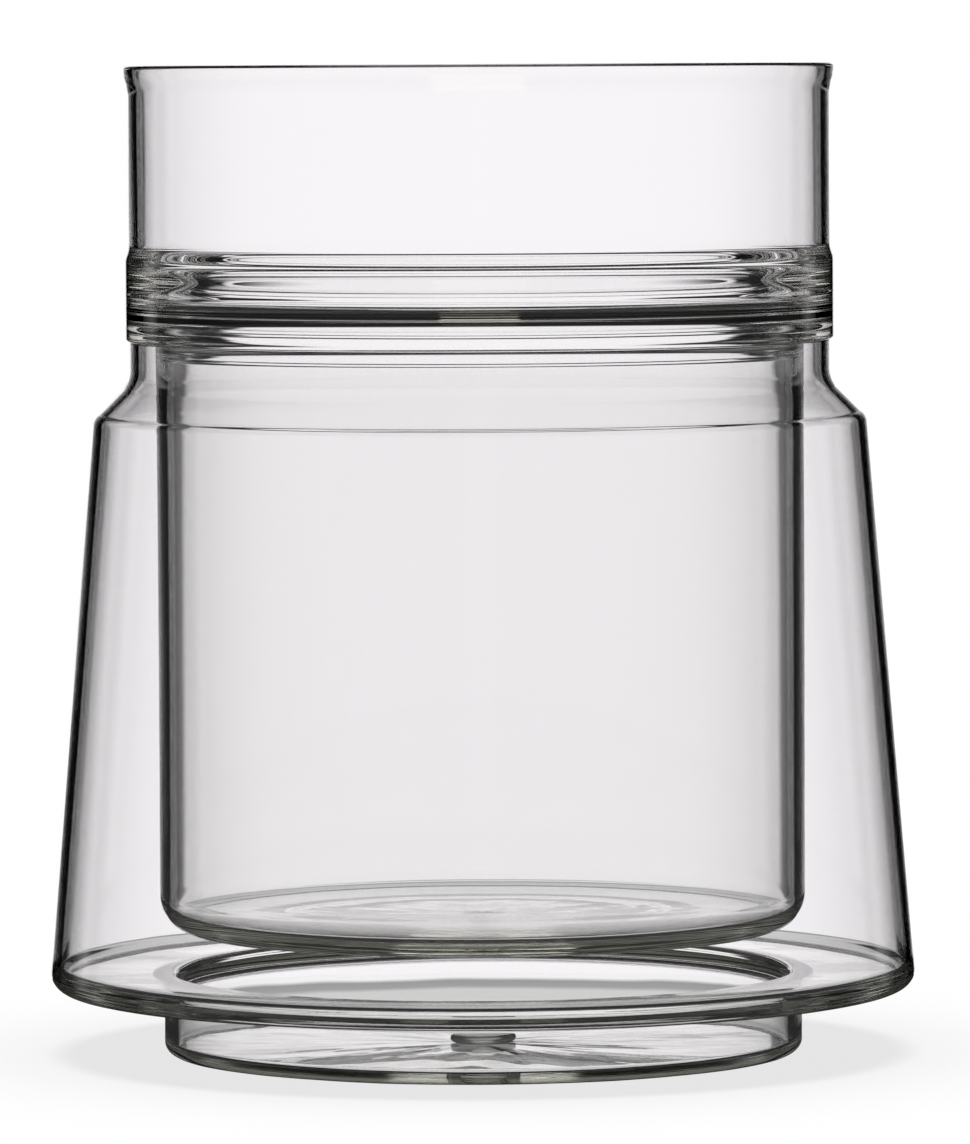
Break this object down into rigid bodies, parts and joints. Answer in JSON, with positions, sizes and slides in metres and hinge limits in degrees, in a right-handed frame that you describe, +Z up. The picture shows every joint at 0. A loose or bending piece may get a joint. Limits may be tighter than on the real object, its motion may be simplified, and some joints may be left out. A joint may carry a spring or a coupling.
{
  "type": "double-walled coffee glass",
  "caption": "Clear double-walled coffee glass: a cup hangs from a thick collar inside a shell that widens downwards to a stepped foot, and the sealed air between keeps the drink warm.",
  "frame": {"origin": "the middle of the foot's underside, on the table", "axes": "+Z up along the glass's axis from the foot to the rim; the glass is the same all round, so +X and +Y are any two level directions"},
  "size_m": [0.0866, 0.0866, 0.0989],
  "materials": {
    "cup_glass": "clear fire-polished borosilicate glass with a faint grey-green cast in thick parts",
    "shell_glass": "clear fire-polished borosilicate glass with a slightly wavy base",
    "weld_glass": "clear melted glass seam",
    "plug_silicone": "matt milky silicone"
  },
  "bodies": {
    "root": {"inner_cup": "cup_glass", "outer_shell": "shell_glass", "weld_bead": "weld_glass", "vent_plug": "plug_silicone"}
  },
  "joints": []
}
